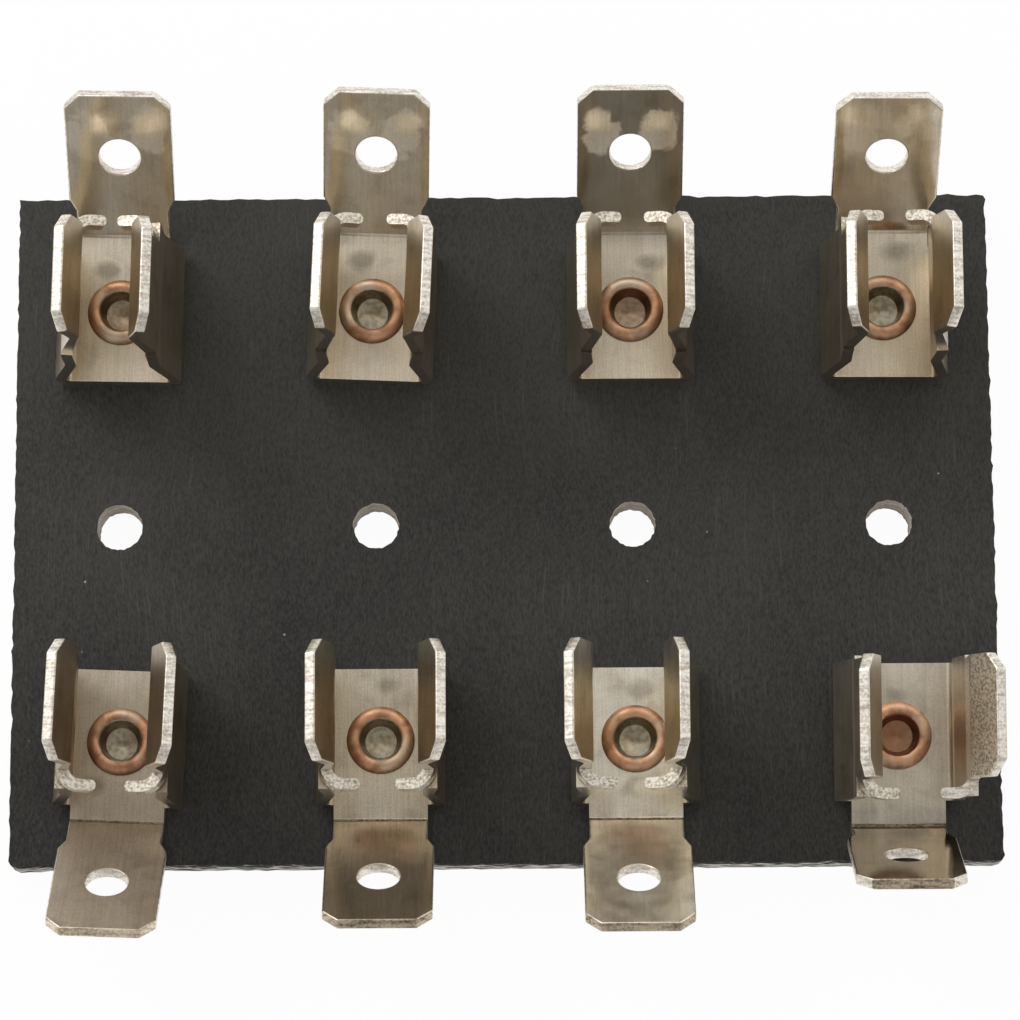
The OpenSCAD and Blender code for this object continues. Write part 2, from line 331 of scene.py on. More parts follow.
@dataclass(frozen=True)
class TarnishedNickel:
    """Nickel plate on rolled brass strip: bright, faintly brushed, with a warm tarnish."""

    name: str
    clean: str = "#ddd0b9"
    warm: str = "#cdc0a8"
    smoke: str = "#61574a"
    smoke_share: float = 0.3
    soot: float = 0.0
    soot_from: float = 6.5
    # Colour of the painted highlights: the lips' reflections on the tab and the pale nose
    pale: str = "#fff3de"
    lip_reflection: float = 0.0
    nose_highlight: float = 0.1
    base_rough: float = 0.31
    tab_rough: float = 0.17
    grit: float = 0.06
    relief: float = 0.06
    wave: float = 0.12

    def build(self, rivet: Vector, turn: float, seed: float, smudge_and_shade: Vector) -> Material:
        """Makes the material for one clip.

        Args:
            rivet: Place of the clip's rivet on the board.
            turn: Turn of the clip about its rivet.
            seed: Number that sets the tarnish apart from that of the other clips.
            smudge_and_shade: Place of the dark patch on the base, part dirt from the fuse caps and part
                painted shade, in millimetres from the rivet.

        Returns:
            The finished material.
        """
        material, shader, add, place = start_material(self.name, {"Metallic": 1.0})
        # Millimetres from the rivet, with Y running to the tab
        spot = add(
            "ShaderNodeMapping",
            {"Vector": place, "Location": rivet, "Rotation": (0.0, 0.0, turn), "Scale": (MM, MM, MM)},
            vector_type="TEXTURE",
        )
        # Tarnish in clouds of 3.5 mm
        cloud = add(
            "ShaderNodeTexNoise",
            {"Vector": spot, "W": seed, "Scale": 1 / 3.5, "Detail": 3.0, "Distortion": 0.5},
            noise_dimensions="4D",
        )
        base = add("ShaderNodeValToRGB", {"Fac": cloud}, [(0.36, self.warm), (0.58, self.clean)])
        # Smoky stains of 1.8 mm
        stain = add(
            "ShaderNodeTexNoise",
            {"Vector": spot, "W": seed + 5.0, "Scale": 1 / 1.8, "Detail": 4.0, "Distortion": 0.8},
            noise_dimensions="4D",
        )
        smoky = add("ShaderNodeValToRGB", {"Fac": stain}, [(0.54, 0.0), (0.74, self.smoke_share)])
        stained = add("ShaderNodeMix", {0: smoky, 6: base, 7: linear(self.smoke)}, data_type="RGBA")
        # Dark patch, 1.5 mm wide and 1.1 mm long: partly a smudge left by the fuse caps and partly painted
        # shade
        smudge_and_shade_form = {"Location": smudge_and_shade, "Scale": (0.75, 0.55, 1.0)}
        smudged_and_shaded = add(
            "ShaderNodeMix",
            {
                0: blot(add, spot, stain, smudge_and_shade_form, [(0.48, 0.5), (0.74, 0.0)]),
                6: stained,
                7: linear(self.smoke),
            },
            data_type="RGBA",
        )
        # Soot on the tab, from soot_from outwards, which is full after 2 mm
        split = add("ShaderNodeSeparateXYZ", {"Vector": spot})
        outer = add(
            "ShaderNodeMapRange",
            {"Value": split.outputs["Y"], 1: self.soot_from, 2: self.soot_from + 2.0, 3: 0.0, 4: self.soot},
        )
        sooted = add("ShaderNodeMix", {0: outer, 6: smudged_and_shaded, 7: linear(self.smoke)}, data_type="RGBA")
        # Painted reflections of the lips: two pale places, 2.5 mm wide and 2.2 mm long, left and right
        # above the tab's hole
        sides = add("ShaderNodeVectorMath", {0: spot}, operation="ABSOLUTE")
        reflected_lips = {"Location": (1.7, 9.5, 0.0), "Scale": (1.25, 1.1, 1000.0)}
        # Painted highlight: the nose of the base is painted paler, more and more from 2.2 to 3.6 mm before
        # the rivet
        nose = add(
            "ShaderNodeMapRange",
            {"Value": split.outputs["Y"], 1: -2.2, 2: -3.6, 3: 0.0, 4: self.nose_highlight},
        )
        rim = [(0.6, self.lip_reflection), (0.67, 0.0)]
        # The painted reflections and the painted highlight on the nose pale the plate
        painted_light = add(
            "ShaderNodeMath", {0: blot(add, sides, stain, reflected_lips, rim), 1: nose}, operation="MAXIMUM"
        )
        highlighted = add("ShaderNodeMix", {0: painted_light, 6: sooted, 7: linear(self.pale)}, data_type="RGBA")
        # Grit in the plate, 0.13 mm across
        grit = add("ShaderNodeTexNoise", {"Vector": spot, "Scale": 1 / 0.13, "Detail": 2.0})
        # Rolling lines along the strip, 0.1 mm wide and 3 mm long
        drawn = add("ShaderNodeMapping", {"Vector": spot, "Scale": (1 / 0.1, 1 / 3.0, 1 / 3.0)})
        lines = add("ShaderNodeTexNoise", {"Vector": drawn, "Scale": 1.0, "Detail": 2.0})
        worn = add("ShaderNodeMix", {0: 0.5, 2: grit, 3: lines})
        shade = add("ShaderNodeValToRGB", {"Fac": worn}, [(0.36, 1.0 - 3 * self.grit), (0.6, 1.0)])
        rolled = add(
            "ShaderNodeMix", {0: 1.0, 6: highlighted, 7: shade}, data_type="RGBA", blend_type="MULTIPLY"
        )
        link(rolled, shader, "Base Color")
        # Connectors have wiped the tab, which starts 4 to 5 mm from the rivet
        gloss = add(
            "ShaderNodeMapRange",
            {"Value": split.outputs["Y"], 1: 4.0, 2: 5.0, 3: self.base_rough, 4: self.tab_rough},
        )
        link(gloss, shader, "Roughness")
        # Handling has left the strip a little wavy, in waves of 2 mm
        waves = add(
            "ShaderNodeTexNoise",
            {"Vector": spot, "W": seed, "Scale": 1 / 2.0, "Detail": 1.0},
            noise_dimensions="4D",
        )
        bent = add("ShaderNodeBump", {"Height": waves, "Strength": self.wave, "Distance": 0.15 * MM})
        relief = add(
            "ShaderNodeBump",
            {"Height": worn, "Strength": self.relief, "Distance": 0.01 * MM, "Normal": bent},
        )
        link(relief, shader, "Normal")
        return material


@dataclass(frozen=True)
class ShearedNickel:
    """Cut edge of the strip: granular, crossed by fine shear marks, brighter than the faces."""

    name: str = "sheared_strip_edge"
    bright: str = "#faf4e9"
    dull: str = "#b9ad9b"
    shear: float = 0.5
    rough: float = 0.42

    def build(self) -> Material:
        """Makes the material.

        Returns:
            The finished material.
        """
        material, shader, add, place = start_material(self.name, {"Metallic": 1.0, "Roughness": self.rough})
        # Grains of 0.16 mm, and shear marks of 0.2 mm across the edge
        grains = add("ShaderNodeTexNoise", {"Vector": place, "Scale": cells(0.16)[0], "Detail": 3.0})
        across = add("ShaderNodeMapping", {"Vector": place, "Scale": cells(1.5, 0.2, 1.5)})
        marks = add("ShaderNodeTexNoise", {"Vector": across, "Scale": 1.0, "Detail": 2.0})
        both = add("ShaderNodeMix", {0: self.shear, 2: grains, 3: marks})
        base = add("ShaderNodeValToRGB", {"Fac": both}, [(0.36, self.dull), (0.58, self.bright)])
        link(base, shader, "Base Color")
        relief = add("ShaderNodeBump", {"Height": both, "Strength": 0.12, "Distance": 0.02 * MM})
        link(relief, shader, "Normal")
        return material


@dataclass(frozen=True)
class RolledCopper:
    """Copper rivet tube, rolled and aged: dull brown, rubbed to a pale metal on some of the rims."""

    name: str = "rolled_copper"
    deep: str = "#b98a6a"
    copper: str = "#deae8a"
    rubbed: str = "#e6d8c2"
    grime: str = "#5a4433"

    def build(self) -> Material:
        """Makes the material.

        Returns:
            The finished material.
        """
        material, shader, add, place = start_material(self.name, {"Metallic": 1.0})
        # Stains of 0.8 mm
        patch = add("ShaderNodeTexNoise", {"Vector": place, "Scale": cells(0.8)[0], "Detail": 4.0})
        base = add("ShaderNodeValToRGB", {"Fac": patch}, [(0.36, self.deep), (0.56, self.copper)])
        # Rubbed places of 3 mm
        wear = add("ShaderNodeTexNoise", {"Vector": place, "Scale": cells(3.0)[0], "Detail": 5.0})
        rubbed = add("ShaderNodeValToRGB", {"Fac": wear}, [(0.5, 0.0), (0.66, 0.8)])
        mixed = add("ShaderNodeMix", {0: rubbed, 6: base, 7: linear(self.rubbed)}, data_type="RGBA")
        # Grime and painted shade where the rim meets the clip, which is 3.05 mm above the back of the board
        split = add("ShaderNodeSeparateXYZ", {"Vector": place})
        foot_grime_and_shade = add(
            "ShaderNodeMapRange",
            {"Value": split.outputs["Z"], 1: 3.05 * MM, 2: 3.5 * MM, 3: 0.85, 4: 0.0},
        )
        grimed_and_shaded = add("ShaderNodeMix", {0: foot_grime_and_shade, 6: mixed, 7: linear(self.grime)}, data_type="RGBA")
        link(grimed_and_shaded, shader, "Base Color")
        gloss = add("ShaderNodeValToRGB", {"Fac": patch}, [(0.3, 0.58), (0.7, 0.42)])
        link(gloss, shader, "Roughness")
        # Fine tool marks of 0.15 mm
        marks = add("ShaderNodeTexNoise", {"Vector": place, "Scale": cells(0.15)[0], "Detail": 2.0})
        relief = add("ShaderNodeBump", {"Height": marks, "Strength": 0.35, "Distance": 0.03 * MM})
        link(relief, shader, "Normal")
        return material


@dataclass(frozen=True)
class PunchedCore:
    """Funnel and bottom of the rivet's tube: plated, punched and dull, with copper showing in places."""

    name: str = "punched_rivet_core"
    grey: str = "#b3aa97"
    grime: str = "#948873"
    copper: str = "#9a6a4c"
    rough: float = 0.38

    def build(self) -> Material:
        """Makes the material.

        Returns:
            The finished material.
        """
        material, shader, add, place = start_material(self.name, {"Metallic": 1.0, "Roughness": self.rough})
        # Grime in patches of 0.3 mm
        patch = add("ShaderNodeTexNoise", {"Vector": place, "Scale": cells(0.3)[0], "Detail": 4.0})
        base = add("ShaderNodeValToRGB", {"Fac": patch}, [(0.36, self.grime), (0.58, self.grey)])
        # One rivet here and there has lost its plate, so this pattern is as wide as the pitch
        bare = add("ShaderNodeTexNoise", {"Vector": place, "Scale": cells(16.0)[0], "Detail": 2.0})
        share = add("ShaderNodeValToRGB", {"Fac": bare}, [(0.56, 0.0), (0.68, 0.85)])
        mixed = add("ShaderNodeMix", {0: share, 6: base, 7: linear(self.copper)}, data_type="RGBA")
        link(mixed, shader, "Base Color")
        relief = add("ShaderNodeBump", {"Height": patch, "Strength": 0.2, "Distance": 0.03 * MM})
        link(relief, shader, "Normal")
        return material


def unit_noise(seed: Vector) -> float:
    """Smooth noise at a point, from nought to one."""
    return noise.noise(seed) * 0.5 + 0.5


def deselect() -> None:
    """Goes back to object mode and selects nothing."""
    if bpy.context.object and bpy.context.object.mode != "OBJECT":
        bpy.ops.object.mode_set(mode="OBJECT")
    bpy.ops.object.select_all(action="DESELECT")


def activate(piece: Object) -> None:
    """Makes one piece the only selected and active one."""
    deselect()
    piece.select_set(True)
    bpy.context.view_layer.objects.active = piece


def merged_copy(node: Object, name: str) -> Object:
    """Copies a frame node and merges its loose triangles into whole faces.

    Args:
        node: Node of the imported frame.
        name: Name of the copy.

    Returns:
        The copy, without materials.
    """
    piece = bpy.data.objects.new(name, node.data.copy())
    bpy.context.scene.collection.objects.link(piece)
    piece.data.name = name
    piece.data.materials.clear()
    activate(piece)
    bpy.ops.object.mode_set(mode="EDIT")
    bpy.ops.mesh.select_all(action="SELECT")
    bpy.ops.mesh.customdata_custom_splitnormals_clear()
    bpy.ops.mesh.remove_doubles(threshold=MERGE_GAP)
    bpy.ops.mesh.dissolve_limited(angle_limit=math.radians(MERGE_DEG))
    bpy.ops.object.mode_set(mode="OBJECT")
    return piece


def smooth(piece: Object) -> None:
    """Smooths the rounded edges of a piece and keeps its flat faces flat.

    Args:
        piece: Piece to change.
    """
    activate(piece)
    bpy.ops.object.shade_smooth_by_angle(angle=math.radians(SHARP_DEG))
    flat = piece.modifiers.new("flat_faces", "WEIGHTED_NORMAL")
    flat.keep_sharp = True
    bpy.ops.object.modifier_apply(modifier=flat.name)


def pick(piece: Object, mode: str, numbers: list[int]) -> None:
    """Opens a piece in edit mode with some of its edges or faces selected.

    Args:
        piece: Piece to open.
        mode: EDGE or FACE.
        numbers: Numbers of the edges or faces.
    """
    activate(piece)
    bpy.ops.object.mode_set(mode="EDIT")
    bpy.ops.mesh.select_mode(type=mode)
    bpy.ops.mesh.select_all(action="DESELECT")
    bpy.ops.object.mode_set(mode="OBJECT")
    parts = piece.data.edges if mode == "EDGE" else piece.data.polygons
    for number in numbers:
        parts[number].select = True
    bpy.ops.object.mode_set(mode="EDIT")


def sharp_edges(piece: Object, frame: Matrix, angle_deg: float) -> list[tuple[int, Vector, Vector]]:
    """Lists the sharp edges of a piece.

    Args:
        piece: Piece to look at.
        frame: Matrix into the frame in which the places are given.
        angle_deg: Smallest angle between faces that counts as sharp.

    Returns:
        Number, middle and run of each edge.
    """
    sides: dict[tuple[int, int], list[Vector]] = {}
    for face in piece.data.polygons:
        for key in face.edge_keys:
            sides.setdefault(key, []).append(face.normal.copy())
    found = []
    for edge in piece.data.edges:
        faces = sides.get(edge.key, [])
        if len(faces) == 2 and faces[0].dot(faces[1]) < math.cos(math.radians(angle_deg)):
            start, end = (frame @ piece.data.vertices[k].co for k in edge.vertices)
            found.append((edge.index, (start + end) / 2, end - start))
    return found


def round_edges(piece: Object, edges: list[int], width: float, segments: int) -> None:
    """Rounds some edges of a piece.

    Args:
        piece: Piece to change.
        edges: Numbers of the edges.
        width: Width of the rounding.
        segments: Number of faces across the rounding.
    """
    pick(piece, "EDGE", edges)
    bpy.ops.mesh.bevel(offset=width, segments=segments, affect="EDGES", clamp_overlap=False)
    bpy.ops.object.mode_set(mode="OBJECT")
    LOG.info("%s: %d edges rounded", piece.name, len(edges))


def dress(piece: Object, node: str) -> None:
    """Puts a finished piece on the body in place of its frame node.

    Args:
        piece: Finished piece.
        node: Frame node that the piece stands for.
    """
    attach(piece, BODY)
    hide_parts(node)
    LOG.info("%s stands for %s with %d faces", piece.name, node, len(piece.data.polygons))


@dataclass
class Board:
    """The sheared board with its punched holes."""

    pitch: float = 15.24 * MM
    row_y: float = 13.0 * MM
    mount_d: float = 2.9 * MM
    rivet_hole_d: float = 3.3 * MM
    pocket_d: float = 5.5 * MM
    pocket_depth: float = 1.0 * MM
    far_shift: tuple[float, ...] = (0.0, -0.2 * MM, 0.0, -0.1 * MM)
    near_shift: tuple[float, ...] = (0.3 * MM, 0.3 * MM, 0.0, 0.1 * MM)
    outline_cuts: int = 340
    rim: float = 0.3 * MM
    tear: float = 0.46 * MM
    lower_share: float = 0.6
    nick_mm: float = 0.26
    fine_ratio: float = 3.1
    level_shift: float = 0.12
    corner_r: tuple[float, ...] = (0.15 * MM, 0.45 * MM, 0.6 * MM, 0.5 * MM)
    corner_share: float = 0.3
    hole_tear: float = 0.18 * MM
    hole_nicks: float = 5.0
    end_shift: float = 5.0
    hole_seed: float = 900.0
    punch_sides: int = 72
    past: float = 1.0 * MM

    def column_x(self, column: int) -> float:
        """Place of a column of clips along the board."""
        return (column - (COLUMNS - 1) / 2) * self.pitch

    def rivet_places(self) -> list[Place]:
        """Places of the rivets in the far row and then in the near row."""
        places = []
        for row, shifts in ((Row.FAR, self.far_shift), (Row.NEAR, self.near_shift)):
            for column, shift in enumerate(shifts):
                places.append((self.column_x(column) + shift, row.value * self.row_y))
        return places

    def outline(self, low: Vector, high: Vector) -> Object:
        """Draws the outline, fills it and pulls it down to the back of the board.

        Args:
            low: Lowest corner of the board.
            high: Highest corner of the board.

        Returns:
            The bare slab.
        """
        deselect()
        bpy.ops.mesh.primitive_plane_add(size=1.0, location=(0.0, 0.0, high.z))
        slab = bpy.context.object
        slab.name = "board_sheet"
        slab.scale = (high.x - low.x, high.y - low.y, 1.0)
        bpy.ops.object.transform_apply(location=True, rotation=True, scale=True)
        bpy.ops.object.mode_set(mode="EDIT")
        bpy.ops.mesh.select_all(action="SELECT")
        bpy.ops.mesh.delete(type="ONLY_FACE")
        bpy.ops.mesh.select_all(action="SELECT")
        bpy.ops.mesh.subdivide(number_cuts=self.outline_cuts)
        bpy.ops.mesh.select_all(action="SELECT")
        bpy.ops.mesh.edge_face_add()
        middle = (high.z - low.z - 2 * self.rim) / 2
        for step in (self.rim, middle, middle, self.rim):
            bpy.ops.mesh.extrude_region_move(TRANSFORM_OT_translate={"value": (0.0, 0.0, -step)})
        bpy.ops.mesh.select_all(action="SELECT")
        bpy.ops.mesh.normals_make_consistent(inside=False)
        bpy.ops.object.mode_set(mode="OBJECT")
        return slab

    def torn_depth(self, place: Vector, height: float, thickness: float) -> float:
        """Depth to which the shear has torn the edge at a place.

        Args:
            place: Point of the edge.
            height: Height of the point above the back.
            thickness: Thickness of the board.

        Returns:
            The depth.
        """
        level = round(height / self.rim)
        seed = Vector((place.x, place.y, 0.0)) * cells(self.nick_mm)[0]
        seed.z = level * self.level_shift
        share = 1.0 if thickness - height < self.rim / 2 else self.lower_share
        return self.tear * unit_noise(seed) * unit_noise(seed * self.fine_ratio) * share

    def tear_edges(self, slab: Object, low: Vector, high: Vector) -> None:
        """Moves the sheared edges inwards by uneven amounts and rounds the corners.

        Args:
            slab: Slab to change.
            low: Lowest corner of the board.
            high: Highest corner of the board.
        """
        for vertex in slab.data.vertices:
            x, y, z = vertex.co
            radius = self.corner_r[int(x > 0) + 2 * int(y < 0)]
            inner = Vector((high.x - radius, high.y - radius))
            depth = self.torn_depth(vertex.co, z - low.z, high.z - low.z)
            over = Vector((abs(x) - inner.x, abs(y) - inner.y))
            if over.x > 0 and over.y > 0:
                reach = over.normalized() * (radius - depth * self.corner_share)
                vertex.co.x = math.copysign(inner.x + reach.x, x)
                vertex.co.y = math.copysign(inner.y + reach.y, y)
            elif over.x > over.y:
                vertex.co.x = math.copysign(high.x - depth, x)
            else:
                vertex.co.y = math.copysign(high.y - depth, y)

    def punch(self, place: Place, diameter: float, low: float, high: float, tear: float = 0.0) -> Object:
        """Makes one punch for a hole.

        Args:
            place: Centre of the hole.
            diameter: Diameter of the hole.
            low: Lower end of the punch.
            high: Upper end of the punch.
            tear: Height of the torn fibres that are left on the wall.

        Returns:
            The punch.
        """
        deselect()
        centre = Vector((place[0], place[1], (low + high) / 2))
        bpy.ops.mesh.primitive_cylinder_add(
            vertices=self.punch_sides, radius=diameter / 2, depth=high - low, location=centre
        )
        bpy.ops.object.transform_apply(location=True, rotation=True, scale=True)
        tool = bpy.context.object
        for vertex in tool.data.vertices:
            arm = vertex.co - centre
            seed = Vector((centre.x, centre.y, 0.0)) * self.hole_seed
            seed.z = math.copysign(self.end_shift, arm.z)
            arm.z = 0.0
            arm.normalize()
            vertex.co -= arm * tear * unit_noise(arm * self.hole_nicks + seed)
        return tool

    def cut(self, slab: Object, punches: list[Object]) -> None:
        """Cuts holes that don't meet each other.

        Args:
            slab: Slab to change.
            punches: Punches, which are used up.
        """
        deselect()
        for tool in punches:
            tool.select_set(True)
        bpy.context.view_layer.objects.active = punches[0]
        bpy.ops.object.join()
        activate(slab)
        hole = slab.modifiers.new("punch", "BOOLEAN")
        hole.object = punches[0]
        hole.operation = "DIFFERENCE"
        hole.solver = "EXACT"
        bpy.ops.object.modifier_apply(modifier=hole.name)
        bpy.data.objects.remove(punches[0])

    def build(self, finishes: tuple[Material, ...]) -> None:
        """Builds the board.

        Args:
            finishes: Materials of the faces, of the sheared edges and of the walls of the holes.
        """
        low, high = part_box("board")
        slab = self.outline(low, high)
        self.tear_edges(slab, low, high)
        wide, narrow = [], []
        for column in range(COLUMNS):
            place = (self.column_x(column), 0.0)
            ends = (low.z - self.past, high.z + self.past)
            wide.append(self.punch(place, self.mount_d, *ends, tear=self.hole_tear))
        for place in self.rivet_places():
            pocket_top = low.z + self.pocket_depth
            wide.append(self.punch(place, self.pocket_d, low.z - self.past, pocket_top))
            through = (pocket_top - self.pocket_depth / 2, high.z + self.past)
            narrow.append(self.punch(place, self.rivet_hole_d, *through))
        self.cut(slab, wide)
        self.cut(slab, narrow)
        slab.data.materials.clear()
        for finish in finishes:
            slab.data.materials.append(finish)
        for face in slab.data.polygons:
            inside = abs(face.center.x) < high.x - self.past and abs(face.center.y) < high.y - self.past
            face.material_index = 0 if abs(face.normal.z) > SQUARE else 1 + int(inside)
        dress(slab, "board")


@dataclass
class Clip:
    """One stamped clip, folded from a strip of nickel-plated brass."""

    number: int
    turn_deg: float
    rise_deg: float
    finish: TarnishedNickel
    tip: ShearedNickel
    # Place of the dark patch on the base: a smudge with painted shade
    smudge_and_shade: Place
    tilt_deg: float = 0.0
    # Side, by the sign of x, whose outer fold is left without the painted shade
    unshaded_fold: int = 0
    rough_wall: int = 0
    seed_step: float = 2.7
    board_top: float = 2.4 * MM
    sheet_t: float = 0.65 * MM
    # Places of its faces and edges, in the clip's own frame
    heel: float = 3.85 * MM
    fold_out: float = 2.9 * MM
    fold_low: float = 1.0 * MM
    fold_slack: float = 0.1 * MM
    nose_step: float = -4.0 * MM
    nose_low: float = 0.3 * MM
    nose_w: float = 3.0 * MM
    stop_bend: float = 2.6 * MM
    stop_face: float = 3.2 * MM
    stop_back: float = 4.62 * MM
    stop_reach: float = 2.2 * MM
    stop_low: float = 6.2 * MM
    stop_high: float = 8.8 * MM
    stop_corner_l: float = 0.4 * MM
    edge_low: float = 7.3 * MM
    crease_from: float = 4.2 * MM
    crease_to: float = 5.4 * MM
    lip_low: float = 9.9 * MM
    tab_from: float = 5.1 * MM
    tip_l: float = 1.2 * MM
    # Roundings
    stop_round: float = 0.27 * MM
    stop_steps: int = 4
    stop_deg: float = 60.0
    edge_round: float = 0.11 * MM
    edge_steps: int = 3
    # Shares of a normal or of an edge along an axis, which tell the kinds of faces and edges apart
    bend_gap: float = 0.02
    bend_flat: float = 0.985
    tip_turn: float = 0.5
    side_turn: float = 0.4
    slight_turn: float = 0.3
    stop_turn: float = 0.6
    end_rise: float = 0.45
    lip_rise: float = 0.7
    upright: float = 0.85

    @property
    def turn(self) -> float:
        """Turn of the clip about its rivet, with the half turn of the near row."""
        return math.radians(self.turn_deg + (0.0 if self.row is Row.FAR else 180.0))

    @property
    def row(self) -> Row:
        """Row that the clip stands in."""
        return Row.FAR if self.number <= COLUMNS else Row.NEAR

    def to_clip(self, rivet: Vector) -> Matrix:
        """Turns points of the block into the clip's own frame.

        Args:
            rivet: Place of the rivet on the board.

        Returns:
            The matrix: Y runs to the tab and Z is up.
        """
        turn = Matrix.Rotation(self.turn, 4, "Z")
        tilt = Matrix.Rotation(math.radians(-self.tilt_deg), 4, "X")
        return (Matrix.Translation(rivet) @ turn @ tilt).inverted()

    def finish_of(self, place: Vector, normal: Vector, tip_from: float) -> Face:
        """Tells the smooth faces of the strip from its cut edges.

        Args:
            place: Centre of a mesh face in the clip's frame.
            normal: Its normal in that frame.
            tip_from: Distance along the tab at which its tip starts.

        Returns:
            The kind of the face.
        """
        if place.y < self.heel or place.z > self.stop_low and place.y < self.stop_back:
            return self.finish_of_wall(place, normal)
        along = self.along
        blade = Vector((0.0, -along.z, along.y))
        sloping = blade.z + self.bend_gap < normal.z < self.bend_flat
        at_tip = place.dot(along) > tip_from and normal.dot(along) > self.tip_turn
        # Painted shadow: on the near row, the arc of the crease where the tab leaves the base takes a dark
        # finish
        if self.row is Row.NEAR and sloping and self.crease_from < place.y < self.crease_to:
            return Face.CREASE
        if at_tip:
            return Face.TIP
        on_edge = abs(normal.x) > self.side_turn or abs(normal.dot(blade)) < self.slight_turn
        return Face.EDGE if on_edge else Face.STRIP

    def finish_of_wall(self, place: Vector, normal: Vector) -> Face:
        """Tells the kinds of faces on the base, the walls and the end stops.

        Args:
            place: Centre of a mesh face in the clip's frame.
            normal: Its normal in that frame.

        Returns:
            The kind of the face.
        """
        at_stop = place.y > self.stop_bend and abs(place.x) < self.fold_out
        shown = max(normal.y, normal.z) > self.stop_turn
        if at_stop and self.stop_low < place.z < self.stop_high and shown:
            return Face.STOP
        # Painted shade: upward faces outside the folds and at the nose take a dark finish, except on one
        # side of some clips
        outside = abs(place.x) > self.fold_out and normal.x * place.x > -self.fold_slack
        on_fold = normal.z > self.slight_turn and (outside or place.y < self.nose_step)
        if on_fold and self.fold_low < place.z < self.edge_low:
            return Face.STRIP if self.unshaded_fold * place.x > 0 else Face.FOLD
        if place.z <= self.edge_low:
            return Face.STRIP
        on_lip = abs(normal.y) < self.slight_turn and normal.z > self.lip_rise
        if self.rough_wall * place.x > 0 > normal.x * place.x and not on_lip:
            return Face.GRAIN
        at_end = abs(normal.y) > self.slight_turn and normal.z > self.end_rise
        return Face.EDGE if at_end or normal.z > self.lip_rise else Face.STRIP

    @property
    def along(self) -> Vector:
        """Direction in which the tab rises, in the clip's frame."""
        rise = math.radians(self.rise_deg + self.tilt_deg)
        return Vector((0.0, math.cos(rise), math.sin(rise)))

    def is_stop_corner(self, middle: Vector, run: Vector) -> bool:
        """Tells the upright corners at the free ends of the end stops."""
        upright = abs(run.z) > self.upright * run.length and run.length > self.stop_corner_l
        at_stop = abs(middle.x) < self.stop_reach and self.stop_face < middle.y < self.stop_back
        return upright and at_stop and self.stop_low < middle.z < self.stop_high

    def is_free_edge(self, middle: Vector, run: Vector) -> bool:
        """Tells the edges of the lips and of the tab, and the upper edge of the nose."""
        at_nose = middle.y < -self.heel and self.nose_low < middle.z < self.fold_low
        on_nose = at_nose and abs(run.x) > self.nose_w
        return middle.z - abs(run.z) / 2 > self.lip_low or middle.y > self.tab_from or on_nose

    def round_off(self, piece: Object, frame: Matrix) -> None:
        """Rounds the ends of the end stops and then the free edges.

        Args:
            piece: Clip to change.
            frame: Matrix into the clip's frame.
        """
        upright = sharp_edges(piece, frame, self.stop_deg)
        corners = [n for n, mid, run in upright if self.is_stop_corner(mid, run)]
        round_edges(piece, corners, self.stop_round, self.stop_steps)
        sharp = sharp_edges(piece, frame, SHARP_DEG)
        free = [n for n, mid, run in sharp if self.is_free_edge(mid, run)]
        round_edges(piece, free, self.edge_round, self.edge_steps)

    def build(self, node: Object, place: Place, rough: dict[Face, Material]) -> None:
        """Builds the clip.

        Args:
            node: Frame node of the clip.
            place: Place of its rivet along and across the board.
            rough: Materials of the rough faces, without the tip.
        """
        piece = merged_copy(node, f"clip_{self.number}_strip")
        rivet = Vector((place[0], place[1], self.board_top))
        frame = self.to_clip(rivet)
        self.round_off(piece, frame)
        smudge_and_shade = Vector((*self.smudge_and_shade, self.sheet_t / MM))
        seed = self.seed_step * self.number
        piece.data.materials.append(self.finish.build(rivet, self.turn, seed, smudge_and_shade))
        own = {Face.TIP: self.tip.build()}
        for kind in list(Face)[1:]:
            piece.data.materials.append(own.get(kind) or rough[kind])
        turned = frame.to_3x3()
        tip_from = max((frame @ vertex.co).dot(self.along) for vertex in piece.data.vertices) - self.tip_l
        for face in piece.data.polygons:
            face.material_index = self.finish_of(frame @ face.center, turned @ face.normal, tip_from)
        smooth(piece)
        dress(piece, f"clip_{self.number}")


